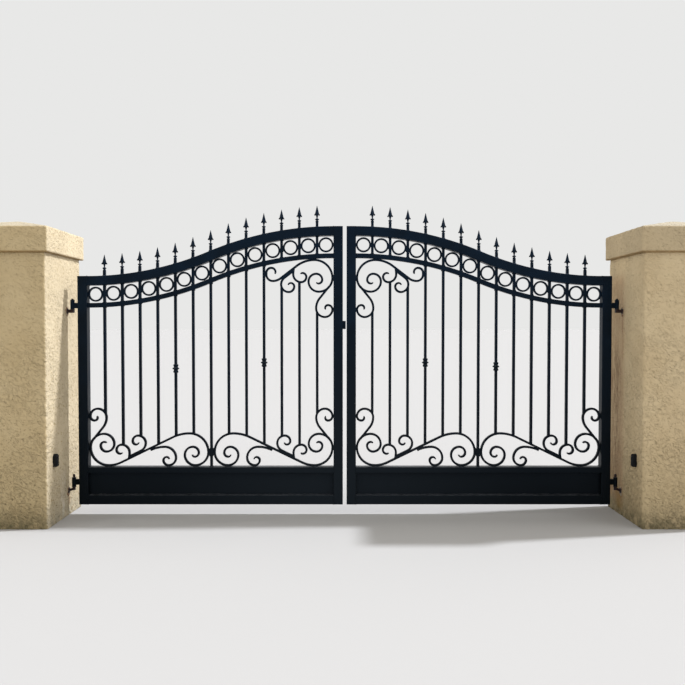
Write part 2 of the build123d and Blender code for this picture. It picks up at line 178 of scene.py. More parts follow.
# Skip-trowelled cement stucco, painted tan: matt, low torn strokes between smooth patches, small dark pits
def stuccoMaterial():
    look = {
        # Paint, in clouds of a deeper and a paler tan
        "left": "#B7A37C", "right": "#CAB693", "paler": "#CDBA95", "deeper": "#B9A27A", "cloudShare": 0.4,
        "patchMm": 380, "roughness": 0.92, "specular": 0.2,
        # Relief: how coarse, how long along the trowel's way, how many millimetres deep, how strong
        "strokeAreaMm": 240, "strokeMm": 22, "strokeLength": 2.7, "strokeDeep": 4.0, "crumbMm": 11,
        "crumbLength": 1.9, "crumbDeep": 3.2, "crumbStrength": 0.8, "pitMm": 11, "pitDeep": 3.0,
        "gritMm": 2.4, "gritDeep": 0.4, "gritStrength": 0.5, "roughFoot": 1.25, "roughTop": 0.65,
        "backShare": 0.45,
        # Dirt and weather, with painted shade in the pits and hollows, on the tops, on the right cap and under the
        # cap, and painted sunlight on the left inner side: the colour, how strong it is, and the height in metres
        # that it reaches
        "pitDirtAndShade": "#84704A", "pitDirtAndShadeShare": 0.26, "hollowDirtAndShadeShare": 0.18, "capShadeColour": "#A8977A", "capShadeShare": 0.55,
        "skywardTone": "#A9A08D", "skywardShare": 0.75, "paintedSunlight": "#D3CBBB", "paintedSunlightShare": 0.27,
        "lowerWallTone": "#84734F", "lowerWallShare": 0.42, "lowerWallHeight": 0.75, "footColour": "#4F4C36",
        "footShare": 0.85, "footHeight": 0.19, "blotchMm": 60, "blotchLeast": 0.25, "lineColour": "#8A6A38",
        "lineShare": 0.65, "lineFull": 0.003, "lineHeight": 0.010, "streakMm": 20, "streakLength": 7,
        # Places in metres: the caps' underside, the inner faces, the right outer face, the back faces
        "capFoot": 1.783, "innerFace": 1.94, "outerFace": 2.45, "backFrom": 0.28, "backTo": 0.295,
    }
    # Marks on the inner faces: colour, how strong, how even, side (-1 left, 1 right), stretch along the face,
    # stretch up the face, how soft
    marks = [
        ("#9A6B4A", 0.50, 0.5, 1, (-0.02, 0.32), (0.05, 1.70), 0.09),
        ("#5E4A33", 0.45, 0.0, 1, (0.02, 0.30), (0.10, 1.20), 0.10),
        ("#8A6420", 0.65, 0.5, 1, (0.0, 0.18), (0.01, 0.20), 0.06),
        ("#8E5A2A", 0.45, 0.2, -1, (0.03, 0.10), (0.06, 0.17), 0.03),
        ("#7A5034", 0.50, 0.2, 1, (0.035, 0.075), (1.25, 1.39), 0.02),
        ("#7A5034", 0.40, 0.2, -1, (0.035, 0.075), (1.25, 1.39), 0.02),
        ("#E2DCCC", 0.55, 0.0, -1, (-0.10, 0.03), (0.0, 0.34), 0.05),
    ]
    material, tree, shader = newMaterial("troweled_stucco")
    place = addNode(tree, "ShaderNodeTexCoord").outputs["Object"]
    axes = addNode(tree, "ShaderNodeSeparateXYZ", inputs={0: place}).outputs
    surface = addNode(tree, "ShaderNodeNewGeometry").outputs
    leaning = addNode(tree, "ShaderNodeMapping", {"vector_type": "TEXTURE"}, {
        "Vector": place, "Rotation": alongTrowel, "Scale": (1.0, 1.0, look["strokeLength"])}).outputs[0]
    slanting = addNode(tree, "ShaderNodeMapping", {"vector_type": "TEXTURE"}, {
        "Vector": place, "Rotation": alongTrowel, "Scale": (1.0, 1.0, look["crumbLength"])}).outputs[0]
    running = addNode(tree, "ShaderNodeMapping", {"vector_type": "TEXTURE"}, {
        "Vector": place, "Scale": (1.0, 1.0, look["streakLength"])}).outputs[0]

    patches = addNode(tree, "ShaderNodeTexNoise", inputs={
        "Vector": place, "Scale": perSize(look["patchMm"]), "Detail": 4.0, "Roughness": 0.6}).outputs[0]
    strokeArea = addNode(tree, "ShaderNodeTexNoise", inputs={
        "Vector": place, "Scale": perSize(look["strokeAreaMm"]), "Detail": 2.0}).outputs[0]
    strokeArea = addNode(tree, "ShaderNodeMapRange", inputs={
        "Value": strokeArea, "From Min": 0.38, "From Max": 0.58, "To Min": 0.3}).outputs[0]
    strokeField = addNode(tree, "ShaderNodeTexNoise", inputs={
        "Vector": leaning, "Scale": perSize(look["strokeMm"]), "Detail": 3.0, "Roughness": 0.6,
        "Distortion": 0.6}).outputs[0]
    plateau = addNode(tree, "ShaderNodeMapRange", {"interpolation_type": "SMOOTHSTEP"}, {
        "Value": strokeField, "From Min": 0.46, "From Max": 0.545}).outputs[0]
    crumbs = addNode(tree, "ShaderNodeTexNoise", inputs={
        "Vector": slanting, "Scale": perSize(look["crumbMm"]), "Detail": 2.0, "Roughness": 0.55,
        "Distortion": 0.4}).outputs[0]
    strokes = addNode(tree, "ShaderNodeMath", {"operation": "MULTIPLY"}, {
        0: plateau, 1: strokeArea}).outputs[0]
    pitField = addNode(tree, "ShaderNodeTexNoise", inputs={
        "Vector": slanting, "Scale": perSize(look["pitMm"]), "Detail": 1.5, "Roughness": 0.5,
        "Distortion": 0.5}).outputs[0]
    pits = addNode(tree, "ShaderNodeMapRange", {"interpolation_type": "SMOOTHSTEP"}, {
        "Value": pitField, "From Min": 0.59, "From Max": 0.67}).outputs[0]
    grit = addNode(tree, "ShaderNodeTexNoise", inputs={
        "Vector": place, "Scale": perSize(look["gritMm"]), "Detail": 3.0}).outputs[0]
    streaks = addNode(tree, "ShaderNodeTexNoise", inputs={
        "Vector": running, "Scale": perSize(look["streakMm"]), "Detail": 3.0, "Roughness": 0.6}).outputs[0]
    streaks = addNode(tree, "ShaderNodeMapRange", inputs={
        "Value": streaks, "From Min": 0.40, "From Max": 0.68}).outputs[0]
    blotches = addNode(tree, "ShaderNodeTexNoise", inputs={
        "Vector": place, "Scale": perSize(look["blotchMm"]), "Detail": 5.0, "Roughness": 0.65}).outputs[0]
    blotches = addNode(tree, "ShaderNodeMapRange", inputs={
        "Value": blotches, "From Min": 0.36, "From Max": 0.64, "To Min": look["blotchLeast"]}).outputs[0]

    # A little paler on the right pillar than on the left, except on the right pillar's outer side, and cloudy on
    # both
    sideways = addNode(tree, "ShaderNodeSeparateXYZ", inputs={0: surface["Normal"]}).outputs["X"]
    sideways = addNode(tree, "ShaderNodeMath", {"operation": "ABSOLUTE"}, {0: sideways}).outputs[0]
    sideways = addNode(tree, "ShaderNodeMapRange", inputs={
        "Value": sideways, "From Min": 0.4, "From Max": 0.8}).outputs[0]
    onRight = addNode(tree, "ShaderNodeMath", {"operation": "GREATER_THAN"}, {0: axes["X"], 1: 0.0}).outputs[0]
    outerSide = addNode(tree, "ShaderNodeMath", {"operation": "GREATER_THAN"}, {
        0: axes["X"], 1: look["outerFace"]}).outputs[0]
    outerSide = addNode(tree, "ShaderNodeMath", {"operation": "MULTIPLY"}, {0: outerSide, 1: sideways}).outputs[0]
    onRight = addNode(tree, "ShaderNodeMath", {"operation": "SUBTRACT"}, {0: onRight, 1: outerSide}).outputs[0]
    colour = addNode(tree, "ShaderNodeMix", {"data_type": "RGBA"}, {
        0: onRight, 6: linearColour(look["left"]), 7: linearColour(look["right"])}).outputs[2]
    cloudy = addNode(tree, "ShaderNodeMapRange", inputs={
        "Value": patches, "From Min": 0.35, "From Max": 0.65}).outputs[0]
    clouds = addNode(tree, "ShaderNodeMix", {"data_type": "RGBA"}, {
        0: cloudy, 6: linearColour(look["deeper"]), 7: linearColour(look["paler"])}).outputs[2]
    colour = addNode(tree, "ShaderNodeMix", {"data_type": "RGBA"}, {
        0: look["cloudShare"], 6: colour, 7: clouds}).outputs[2]

    # Painted shade: the right cap is coloured duller and darker than the rest
    onCap = addNode(tree, "ShaderNodeMath", {"operation": "GREATER_THAN"}, {
        0: axes["Z"], 1: look["capFoot"]}).outputs[0]
    capShade = addNode(tree, "ShaderNodeMath", {"operation": "MULTIPLY"}, {0: onCap, 1: onRight}).outputs[0]
    capShade = addNode(tree, "ShaderNodeMath", {"operation": "MULTIPLY"}, {0: capShade, 1: look["capShadeShare"]}).outputs[0]
    colour = addNode(tree, "ShaderNodeMix", {"data_type": "RGBA"}, {
        0: capShade, 6: colour, 7: linearColour(look["capShadeColour"])}).outputs[2]

    # The coat was laid on rougher low down, and floated smoother on the back
    rougher = addNode(tree, "ShaderNodeMapRange", inputs={
        "Value": axes["Z"], "From Min": 0.2, "From Max": 1.5, "To Min": look["roughFoot"],
        "To Max": look["roughTop"]}).outputs[0]
    floated = addNode(tree, "ShaderNodeMapRange", inputs={
        "Value": axes["Y"], "From Min": look["backFrom"], "From Max": look["backTo"], "To Min": 1.0,
        "To Max": look["backShare"]}).outputs[0]
    rougher = addNode(tree, "ShaderNodeMath", {"operation": "MULTIPLY"}, {0: rougher, 1: floated}).outputs[0]
    pits = addNode(tree, "ShaderNodeMath", {"operation": "MULTIPLY"}, {0: pits, 1: rougher}).outputs[0]

    # Dirt held in the pits and hollows, and painted shade there, darkening them as the relief would be shaded
    hollowDirtAndShade = addNode(tree, "ShaderNodeMapRange", inputs={
        "Value": surface["Pointiness"], "From Min": 0.44, "From Max": 0.495, "To Min": look["hollowDirtAndShadeShare"],
        "To Max": 0.0}).outputs[0]
    pitDirtAndShadeShare = addNode(tree, "ShaderNodeMath", {"operation": "MULTIPLY_ADD"}, {
        0: pits, 1: look["pitDirtAndShadeShare"], 2: hollowDirtAndShade}).outputs[0]
    colour = addNode(tree, "ShaderNodeMix", {"data_type": "RGBA"}, {
        0: pitDirtAndShadeShare, 6: colour, 7: linearColour(look["pitDirtAndShade"])}).outputs[2]

    # Greyer and darker where it faces the sky: a weathered grey, and painted shade that keeps the brightly lit
    # tops from glaring
    facing = addNode(tree, "ShaderNodeSeparateXYZ", inputs={0: surface["Normal"]}).outputs["Z"]
    skyward = addNode(tree, "ShaderNodeMapRange", inputs={
        "Value": facing, "From Min": 0.5, "From Max": 0.9, "To Max": look["skywardShare"]}).outputs[0]
    colour = addNode(tree, "ShaderNodeMix", {"data_type": "RGBA"}, {
        0: skyward, 6: colour, 7: linearColour(look["skywardTone"])}).outputs[2]

    # Greyer and darker on the lower wall, and soil along the foot
    lowerWall = addNode(tree, "ShaderNodeMapRange", {"interpolation_type": "SMOOTHSTEP"}, {
        "Value": axes["Z"], "From Max": look["lowerWallHeight"], "To Min": look["lowerWallShare"],
        "To Max": 0.0}).outputs[0]
    colour = addNode(tree, "ShaderNodeMix", {"data_type": "RGBA"}, {
        0: lowerWall, 6: colour, 7: linearColour(look["lowerWallTone"])}).outputs[2]
    foot = addNode(tree, "ShaderNodeMapRange", {"interpolation_type": "SMOOTHSTEP"}, {
        "Value": axes["Z"], "From Max": look["footHeight"], "To Min": look["footShare"],
        "To Max": 0.0}).outputs[0]
    foot = addNode(tree, "ShaderNodeMath", {"operation": "MULTIPLY"}, {0: foot, 1: blotches}).outputs[0]
    colour = addNode(tree, "ShaderNodeMix", {"data_type": "RGBA"}, {
        0: foot, 6: colour, 7: linearColour(look["footColour"])}).outputs[2]

    # Grime in the corner under the cap, and painted shade under its overhang
    fromCap = addNode(tree, "ShaderNodeMath", {"operation": "SUBTRACT"}, {
        0: axes["Z"], 1: look["capFoot"]}).outputs[0]
    fromCap = addNode(tree, "ShaderNodeMath", {"operation": "ABSOLUTE"}, {0: fromCap}).outputs[0]
    line = addNode(tree, "ShaderNodeMapRange", inputs={
        "Value": fromCap, "From Min": look["lineFull"], "From Max": look["lineHeight"],
        "To Min": look["lineShare"], "To Max": 0.0}).outputs[0]
    colour = addNode(tree, "ShaderNodeMix", {"data_type": "RGBA"}, {
        0: line, 6: colour, 7: linearColour(look["lineColour"])}).outputs[2]

    # Painted sunlight: the left pillar's inner side, where the sun falls, is coloured paler and greyer between the
    # pits
    acrossX = addNode(tree, "ShaderNodeMath", {"operation": "ABSOLUTE"}, {0: axes["X"]}).outputs[0]
    nearDrive = addNode(tree, "ShaderNodeMath", {"operation": "LESS_THAN"}, {
        0: acrossX, 1: look["innerFace"]}).outputs[0]
    onInner = addNode(tree, "ShaderNodeMath", {"operation": "MULTIPLY"}, {0: nearDrive, 1: sideways}).outputs[0]
    onLeft = addNode(tree, "ShaderNodeMath", {"operation": "LESS_THAN"}, {0: axes["X"], 1: 0.0}).outputs[0]
    paintedSunlightMask = addNode(tree, "ShaderNodeMath", {"operation": "MULTIPLY"}, {0: onInner, 1: onLeft}).outputs[0]
    betweenPits = addNode(tree, "ShaderNodeMapRange", inputs={
        "Value": pits, "To Min": look["paintedSunlightShare"], "To Max": 0.0}).outputs[0]
    paintedSunlightMask = addNode(tree, "ShaderNodeMath", {"operation": "MULTIPLY"}, {0: paintedSunlightMask, 1: betweenPits}).outputs[0]
    colour = addNode(tree, "ShaderNodeMix", {"data_type": "RGBA"}, {
        0: paintedSunlightMask, 6: colour, 7: linearColour(look["paintedSunlight"])}).outputs[2]

    # Rust and rain runs on the inner faces alone
    for markColour, most, even, towards, alongFace, upFace, soft in marks:
        share = addNode(tree, "ShaderNodeMapRange", inputs={
            "Value": streaks, "To Min": most * even, "To Max": most}).outputs[0]
        for axis, (start, stop) in (("Y", alongFace), ("Z", upFace)):
            away = addNode(tree, "ShaderNodeMath", {"operation": "SUBTRACT"}, {
                0: axes[axis], 1: (start + stop) / 2}).outputs[0]
            away = addNode(tree, "ShaderNodeMath", {"operation": "ABSOLUTE"}, {0: away}).outputs[0]
            inside = addNode(tree, "ShaderNodeMapRange", {"interpolation_type": "SMOOTHSTEP"}, {
                "Value": away, "From Min": max((stop - start) / 2 - soft, 0.0),
                "From Max": (stop - start) / 2, "To Min": 1.0, "To Max": 0.0}).outputs[0]
            share = addNode(tree, "ShaderNodeMath", {"operation": "MULTIPLY"}, {0: share, 1: inside}).outputs[0]
        test = "GREATER_THAN" if towards > 0 else "LESS_THAN"
        there = addNode(tree, "ShaderNodeMath", {"operation": test}, {0: axes["X"], 1: 0.0}).outputs[0]
        there = addNode(tree, "ShaderNodeMath", {"operation": "MULTIPLY"}, {0: there, 1: onInner}).outputs[0]
        share = addNode(tree, "ShaderNodeMath", {"operation": "MULTIPLY"}, {0: share, 1: there}).outputs[0]
        colour = addNode(tree, "ShaderNodeMix", {"data_type": "RGBA"}, {
            0: share, 6: colour, 7: linearColour(markColour)}).outputs[2]

    # Relief too fine to model: strokes, then crumbs, pits and grit
    strokes = addNode(tree, "ShaderNodeMath", {"operation": "MULTIPLY"}, {0: strokes, 1: rougher}).outputs[0]
    crumbs = addNode(tree, "ShaderNodeMath", {"operation": "MULTIPLY"}, {0: crumbs, 1: strokeArea}).outputs[0]
    crumbs = addNode(tree, "ShaderNodeMath", {"operation": "MULTIPLY"}, {0: crumbs, 1: floated}).outputs[0]
    bump = addNode(tree, "ShaderNodeBump", inputs={
        "Height": strokes, "Distance": look["strokeDeep"] * mm, "Strength": 1.0}).outputs[0]
    bump = addNode(tree, "ShaderNodeBump", inputs={
        "Height": crumbs, "Distance": look["crumbDeep"] * mm, "Strength": look["crumbStrength"],
        "Normal": bump}).outputs[0]
    bump = addNode(tree, "ShaderNodeBump", {"invert": True}, {
        "Height": pits, "Distance": look["pitDeep"] * mm, "Strength": 1.0, "Normal": bump}).outputs[0]
    bump = addNode(tree, "ShaderNodeBump", inputs={
        "Height": grit, "Distance": look["gritDeep"] * mm, "Strength": look["gritStrength"],
        "Normal": bump}).outputs[0]
    tree.links.new(colour, shader.inputs["Base Color"])
    tree.links.new(bump, shader.inputs["Normal"])
    shader.inputs["Roughness"].default_value = look["roughness"]
    shader.inputs["Specular IOR Level"].default_value = look["specular"]
    return material


# Satin black enamel sprayed on welded steel: near black with a cool sheen, faint orange peel, dust and painted sky
# sheen on top faces, painted sky reflection that turns it bluer higher up
def enamelMaterial():
    look = {
        # Colour, with the painted sky reflection that turns it bluer higher up
        "colour": "#070B0D", "paintedSkyBlue": "#0B1927", "paintedSkyFrom": 0.2, "paintedSkyTo": 1.9, "patchMm": 160,
        "sheen": "#C3D6F2", "specular": 0.11, "glossier": 0.32, "duller": 0.44, "peelMm": 3, "peelDeep": 0.12,
        "film": "#171C20", "filmFrom": 0.2, "filmReach": 1.5, "filmTop": 1.3,
        # Dust on top faces, with painted sky sheen in it
        "dustAndSheen": "#74777C", "dustAndSheenMm": 26, "dustAndSheenLeast": 0.08, "dustAndSheenMost": 0.38,
    }
    material, tree, shader = newMaterial("satin_black_enamel")
    place = addNode(tree, "ShaderNodeTexCoord").outputs["Object"]
    patches = addNode(tree, "ShaderNodeTexNoise", inputs={
        "Vector": place, "Scale": perSize(look["patchMm"]), "Detail": 3.0}).outputs[0]
    peel = addNode(tree, "ShaderNodeTexNoise", inputs={
        "Vector": place, "Scale": perSize(look["peelMm"]), "Detail": 1.0}).outputs[0]
    dustAndSheenField = addNode(tree, "ShaderNodeTexNoise", inputs={
        "Vector": place, "Scale": perSize(look["dustAndSheenMm"]), "Detail": 4.0, "Roughness": 0.65}).outputs[0]

    axes = addNode(tree, "ShaderNodeSeparateXYZ", inputs={0: place}).outputs
    # Painted reflection of the sky: the colour turns bluer higher up, in patches
    upper = addNode(tree, "ShaderNodeMapRange", inputs={
        "Value": axes["Z"], "From Min": look["paintedSkyFrom"], "From Max": look["paintedSkyTo"]}).outputs[0]
    cool = addNode(tree, "ShaderNodeMapRange", inputs={
        "Value": patches, "From Min": 0.3, "From Max": 0.7, "To Min": 0.5, "To Max": 1.2}).outputs[0]
    cool = addNode(tree, "ShaderNodeMath", {"operation": "MULTIPLY"}, {0: cool, 1: upper}).outputs[0]
    colour = addNode(tree, "ShaderNodeMix", {"data_type": "RGBA"}, {
        0: cool, 6: linearColour(look["colour"]), 7: linearColour(look["paintedSkyBlue"])}).outputs[2]

    # A paler film, thickest low down and towards the meeting stiles
    fromMiddle = addNode(tree, "ShaderNodeMath", {"operation": "ABSOLUTE"}, {0: axes["X"]}).outputs[0]
    film = addNode(tree, "ShaderNodeMapRange", {"interpolation_type": "SMOOTHSTEP"}, {
        "Value": fromMiddle, "From Min": look["filmFrom"], "From Max": look["filmReach"], "To Min": 1.0,
        "To Max": 0.0}).outputs[0]
    lowDown = addNode(tree, "ShaderNodeMapRange", inputs={
        "Value": axes["Z"], "From Max": look["filmTop"], "To Min": 1.0, "To Max": 0.0}).outputs[0]
    film = addNode(tree, "ShaderNodeMath", {"operation": "MULTIPLY"}, {0: film, 1: lowDown}).outputs[0]
    colour = addNode(tree, "ShaderNodeMix", {"data_type": "RGBA"}, {
        0: film, 6: colour, 7: linearColour(look["film"])}).outputs[2]

    # Dust that lies on the faces that look up, with painted sheen of the sky on them
    facing = addNode(tree, "ShaderNodeNewGeometry").outputs["Normal"]
    upward = addNode(tree, "ShaderNodeSeparateXYZ", inputs={0: facing}).outputs["Z"]
    onTop = addNode(tree, "ShaderNodeMapRange", {"interpolation_type": "SMOOTHSTEP"}, {
        "Value": upward, "From Min": 0.55, "From Max": 0.98}).outputs[0]
    dustAndSheenAmount = addNode(tree, "ShaderNodeMapRange", inputs={
        "Value": dustAndSheenField, "From Min": 0.35, "From Max": 0.7, "To Min": look["dustAndSheenLeast"],
        "To Max": look["dustAndSheenMost"]}).outputs[0]
    dustAndSheen = addNode(tree, "ShaderNodeMath", {"operation": "MULTIPLY"}, {0: onTop, 1: dustAndSheenAmount}).outputs[0]
    colour = addNode(tree, "ShaderNodeMix", {"data_type": "RGBA"}, {
        0: dustAndSheen, 6: colour, 7: linearColour(look["dustAndSheen"])}).outputs[2]

    # Sheen that varies a little, with the spray's orange peel
    roughness = addNode(tree, "ShaderNodeMapRange", inputs={
        "Value": patches, "From Min": 0.3, "From Max": 0.7, "To Min": look["glossier"],
        "To Max": look["duller"]}).outputs[0]
    peelBump = addNode(tree, "ShaderNodeBump", inputs={
        "Height": peel, "Distance": look["peelDeep"] * mm, "Strength": 0.3}).outputs[0]
    tree.links.new(colour, shader.inputs["Base Color"])
    tree.links.new(roughness, shader.inputs["Roughness"])
    tree.links.new(peelBump, shader.inputs["Normal"])
    shader.inputs["Specular IOR Level"].default_value = look["specular"]
    shader.inputs["Specular Tint"].default_value = linearColour(look["sheen"])
    return material


# Forged hinge iron, painted once: dull brown-black with rust coming through
def hingeMaterial():
    look = {
        "colour": "#221517", "rust": "#4A2A20", "rustMm": 9, "rustShare": 0.7, "painted": 0.5, "rusted": 0.85,
        "specular": 0.3, "grainMm": 1.5, "grainDeep": 0.3,
    }
    material, tree, shader = newMaterial("forged_hinge_iron")
    place = addNode(tree, "ShaderNodeTexCoord").outputs["Object"]
    rustField = addNode(tree, "ShaderNodeTexNoise", inputs={
        "Vector": place, "Scale": perSize(look["rustMm"]), "Detail": 5.0, "Roughness": 0.7}).outputs[0]
    rust = addNode(tree, "ShaderNodeMapRange", inputs={
        "Value": rustField, "From Min": 0.52, "From Max": 0.7, "To Max": look["rustShare"]}).outputs[0]
    grain = addNode(tree, "ShaderNodeTexNoise", inputs={
        "Vector": place, "Scale": perSize(look["grainMm"]), "Detail": 2.0}).outputs[0]
    colour = addNode(tree, "ShaderNodeMix", {"data_type": "RGBA"}, {
        0: rust, 6: linearColour(look["colour"]), 7: linearColour(look["rust"])}).outputs[2]
    roughness = addNode(tree, "ShaderNodeMapRange", inputs={
        "Value": rust, "To Min": look["painted"], "To Max": look["rusted"]}).outputs[0]
    bump = addNode(tree, "ShaderNodeBump", inputs={
        "Height": grain, "Distance": look["grainDeep"] * mm, "Strength": 0.5}).outputs[0]
    tree.links.new(colour, shader.inputs["Base Color"])
    tree.links.new(roughness, shader.inputs["Roughness"])
    tree.links.new(bump, shader.inputs["Normal"])
    shader.inputs["Specular IOR Level"].default_value = look["specular"]
    return material


# Moulded ABS with a spark-eroded grain: matt black, a little faded in patches
def sensorMaterial():
    look = {
        "colour": "#090B0D", "faded": "#0F1216", "patchMm": 30, "roughness": 0.6, "specular": 0.15,
        "grainMm": 1.2, "grainDeep": 0.15,
    }
    material, tree, shader = newMaterial("matt_black_abs")
    place = addNode(tree, "ShaderNodeTexCoord").outputs["Object"]
    patches = addNode(tree, "ShaderNodeTexNoise", inputs={
        "Vector": place, "Scale": perSize(look["patchMm"]), "Detail": 2.0}).outputs[0]
    grain = addNode(tree, "ShaderNodeTexNoise", inputs={
        "Vector": place, "Scale": perSize(look["grainMm"]), "Detail": 1.0}).outputs[0]
    colour = addNode(tree, "ShaderNodeMix", {"data_type": "RGBA"}, {
        0: patches, 6: linearColour(look["colour"]), 7: linearColour(look["faded"])}).outputs[2]
    bump = addNode(tree, "ShaderNodeBump", inputs={
        "Height": grain, "Distance": look["grainDeep"] * mm, "Strength": 0.5}).outputs[0]
    tree.links.new(colour, shader.inputs["Base Color"])
    tree.links.new(bump, shader.inputs["Normal"])
    shader.inputs["Roughness"].default_value = look["roughness"]
    shader.inputs["Specular IOR Level"].default_value = look["specular"]
    return material


# Dark red acrylic lens of the safety beam: smooth and glossy, almost black
def lensMaterial():
    look = {"colour": "#1C0607", "deeper": "#0B0405", "patchMm": 12, "roughness": 0.12}
    material, tree, shader = newMaterial("dark_red_acrylic")
    place = addNode(tree, "ShaderNodeTexCoord").outputs["Object"]
    patches = addNode(tree, "ShaderNodeTexNoise", inputs={
        "Vector": place, "Scale": perSize(look["patchMm"]), "Detail": 2.0}).outputs[0]
    colour = addNode(tree, "ShaderNodeMix", {"data_type": "RGBA"}, {
        0: patches, 6: linearColour(look["deeper"]), 7: linearColour(look["colour"])}).outputs[2]
    tree.links.new(colour, shader.inputs["Base Color"])
    shader.inputs["Roughness"].default_value = look["roughness"]
    return material


# Patching mortar pressed round a flange: gritty grey tan, stained by the iron
def mortarMaterial():
    look = {
        "colour": "#A79A80", "rust": "#7B4A2E", "rustMm": 24, "rustShare": 0.85, "roughness": 0.95,
        "gritMm": 3, "gritDeep": 0.8,
    }
    material, tree, shader = newMaterial("patching_mortar")
    place = addNode(tree, "ShaderNodeTexCoord").outputs["Object"]
    rustField = addNode(tree, "ShaderNodeTexNoise", inputs={
        "Vector": place, "Scale": perSize(look["rustMm"]), "Detail": 4.0, "Roughness": 0.7}).outputs[0]
    rust = addNode(tree, "ShaderNodeMapRange", inputs={
        "Value": rustField, "From Min": 0.42, "From Max": 0.62, "To Max": look["rustShare"]}).outputs[0]
    colour = addNode(tree, "ShaderNodeMix", {"data_type": "RGBA"}, {
        0: rust, 6: linearColour(look["colour"]), 7: linearColour(look["rust"])}).outputs[2]
    grit = addNode(tree, "ShaderNodeTexNoise", inputs={
        "Vector": place, "Scale": perSize(look["gritMm"]), "Detail": 3.0}).outputs[0]
    bump = addNode(tree, "ShaderNodeBump", inputs={
        "Height": grit, "Distance": look["gritDeep"] * mm, "Strength": 0.8}).outputs[0]
    tree.links.new(colour, shader.inputs["Base Color"])
    tree.links.new(bump, shader.inputs["Normal"])
    shader.inputs["Roughness"].default_value = look["roughness"]
    return material


stucco = stuccoMaterial()
enamel = enamelMaterial()
hingeIron = hingeMaterial()
sensorPlastic = sensorMaterial()
lensAcrylic = lensMaterial()
mortar = mortarMaterial()
slotMaterials = {
    "stucco": stucco, "black_iron": enamel, "hinge_iron": hingeIron, "sensor_plastic": sensorPlastic}
for subpart in frame["record"]["subparts"]:
    mesh = nodes[subpart["node"]].data
    mesh.materials.clear()
    mesh.materials.append(slotMaterials[subpart["material_slot"]])
print("materials made")


# Stucco skin over a pillar or its cap: the solid's own faces as an even mesh, waved by hand and torn by the trowel
def buildStucco(side, part):
    skin = {
        "grid": {"pillar": 7.2 * mm, "pillar_cap": 5.6 * mm}, "softening": {"pillar": 0, "pillar_cap": 1},
        "strength": {"pillar": 1.0, "pillar_cap": 0.7}, "strokeLength": 2.0, "noiseDepth": 1, "tuck": 20 * mm,
        # Name, size in metres, strength, middle level and contrast
        "coats": [("hand", 0.30, 2.0 * mm, 0.5, 1.0), ("strokes", 0.022, 2.2 * mm, 0.2, 3.0),
                  ("crumbs", 0.012, 1.4 * mm, 0.3, 1.0)],
    }
    solid = nodes[f"{side}_{part}"]
    piece = copySolid(solid, f"{side}_{part}_stucco")
    leaveEdit()

    # A shaft's ends go a little way into the cap and the ground, and the foot is cut off flat afterwards
    if part == "pillar":
        low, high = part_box(solid.name)
        for vertex in piece.data.vertices:
            vertex.co.z += skin["tuck"] * ((vertex.co.z > high.z - mm) - (vertex.co.z < low.z + mm))

    # Empty that turns and stretches the strokes, so that they lean as the trowel was held
    bpy.ops.object.empty_add(rotation=alongTrowel)
    lean = bpy.context.object
    lean.scale = (1, 1, skin["strokeLength"])
    grid = piece.modifiers.new("grid", "REMESH")
    grid.mode = "VOXEL"
    grid.voxel_size = skin["grid"][part]
    grid.use_smooth_shade = True
    soft = piece.modifiers.new("soft", "SMOOTH")
    soft.iterations = skin["softening"][part]
    for name, size, strength, middle, contrast in skin["coats"]:
        coat = addClouds(piece, name, size, strength * skin["strength"][part], middle)
        coat.texture.noise_depth = skin["noiseDepth"]
        coat.texture.contrast = contrast
        coat.texture_coords = "OBJECT"
        coat.texture_coords_object = lean
    applyModifiers(piece)
    bpy.data.objects.remove(lean)
    if part == "pillar":
        makeActive(piece)
        editAll()
        bpy.ops.mesh.bisect(plane_co=(0, 0, 0), plane_no=(0, 0, 1), clear_inner=True, use_fill=True)
        leaveEdit()
    dress(piece, stucco, "posts")
    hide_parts(solid.name)
    print(piece.name, "faces", len(piece.data.polygons))


for side in sides:
    for part in ("pillar", "pillar_cap"):
        buildStucco(side, part)
print("stucco made")


# Lumpy pad of weld metal, modelled once: a rounded block with its points shifted a little
def weldPadMaster():
    pad = {"cuts": 2, "rounding": 0.75, "unevenness": 0.10, "seed": 4}
    deselectAll()
    bpy.ops.mesh.primitive_cube_add(size=2)
    master = bpy.context.object
    editAll()
    bpy.ops.mesh.subdivide(number_cuts=pad["cuts"])
    bpy.ops.transform.tosphere(value=pad["rounding"])
    bpy.ops.transform.vertex_random(offset=pad["unevenness"], uniform=0.3, normal=0.4, seed=pad["seed"])
    leaveEdit()
    bpy.ops.object.shade_smooth()
    return master


# Middle and half size of each place where one node lies against another
def touchingPlaces(nodeName, againstName):
    touch = {"reach": 1.2 * mm, "apart": 24 * mm}
    against = nodes[againstName].data
    faces = BVHTree.FromPolygons([v.co for v in against.vertices], [p.vertices[:] for p in against.polygons])
    groups = []
    for vertex in nodes[nodeName].data.vertices:
        if faces.find_nearest(vertex.co, touch["reach"])[0] is None:
            continue
        for group in groups:
            if (group[0] - vertex.co).length < touch["apart"]:
                group.append(vertex.co.copy())
                break
        else:
            groups.append([vertex.co.copy()])
    places = []
    for group in groups:
        lowest = Vector([min(p[axis] for p in group) for axis in range(3)])
        highest = Vector([max(p[axis] for p in group) for axis in range(3)])
        places.append(((lowest + highest) / 2, (highest - lowest) / 2))
    return places


